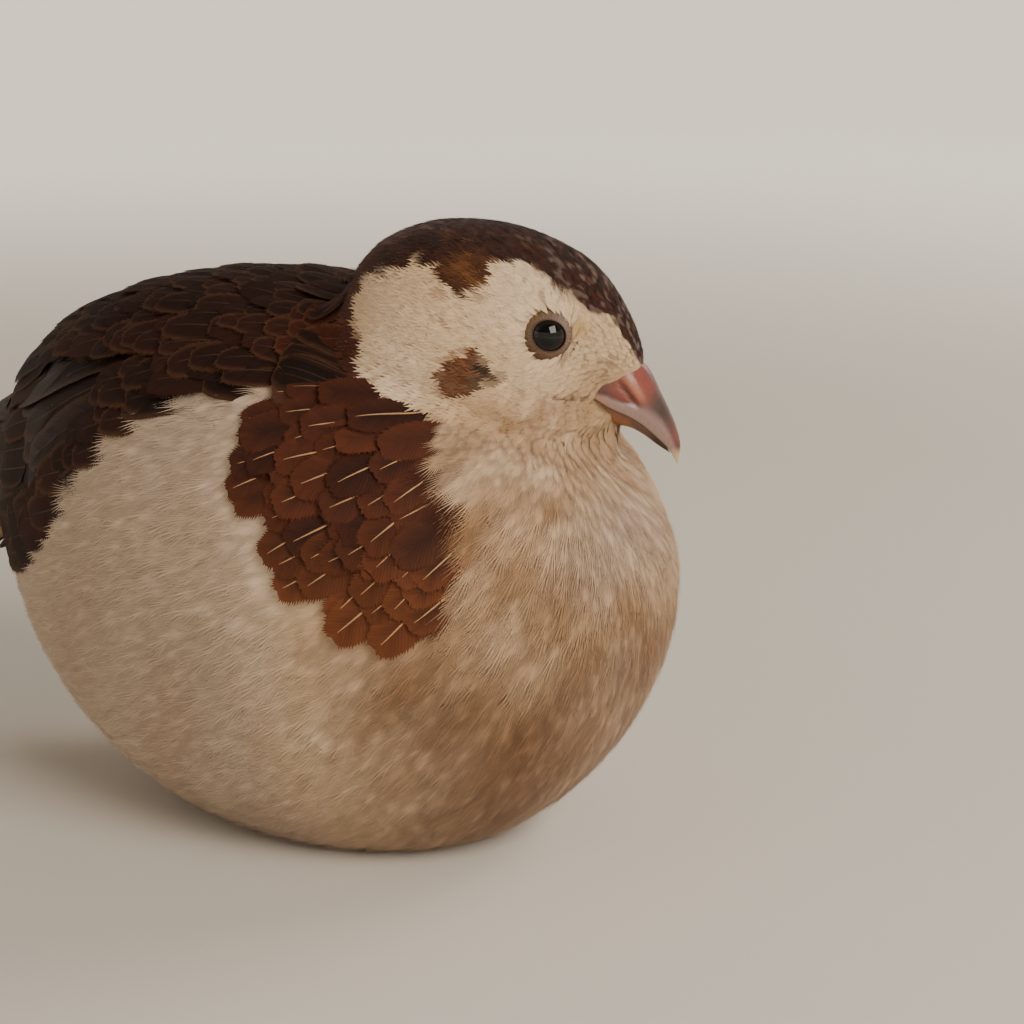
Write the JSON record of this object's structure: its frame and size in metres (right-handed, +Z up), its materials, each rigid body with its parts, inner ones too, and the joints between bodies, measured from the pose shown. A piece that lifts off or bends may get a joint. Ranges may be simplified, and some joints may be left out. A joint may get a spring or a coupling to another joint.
{
  "type": "coturnix quail",
  "caption": "Life-size piebald coturnix quail resting on its belly, head drawn in and turned to its left, wings folded, short tail low.",
  "frame": {"origin": "middle of the bird's outline seen from above, at the level it rests on", "axes": "+X forward along the body, +Y to the bird's left, +Z up"},
  "size_m": [0.1322, 0.0746, 0.09],
  "materials": {
    "body_feathers": "soft matt feathers, white with chestnut and dark brown",
    "flight_feathers": "dark brown feathers with pale edges",
    "bill_horn": "smooth horn, reddish at the base",
    "eye_cornea": "wet and near black",
    "leg_scales": "dry scales, pale flesh colour",
    "claw_horn": "smooth grey-brown horn"
  },
  "bodies": {
    "root": {"torso": "body_feathers", "neck": "body_feathers", "head": "body_feathers", "wing_right": "flight_feathers", "wing_left": "flight_feathers", "tail": "flight_feathers", "bill_upper": "bill_horn", "bill_lower": "bill_horn", "eye_right": "eye_cornea", "eye_left": "eye_cornea", "leg_right": "leg_scales", "leg_left": "leg_scales", "claw_right_inner": "claw_horn", "claw_right_middle": "claw_horn", "claw_right_outer": "claw_horn", "claw_right_hind": "claw_horn", "claw_left_inner": "claw_horn", "claw_left_middle": "claw_horn", "claw_left_outer": "claw_horn", "claw_left_hind": "claw_horn"}
  },
  "joints": []
}
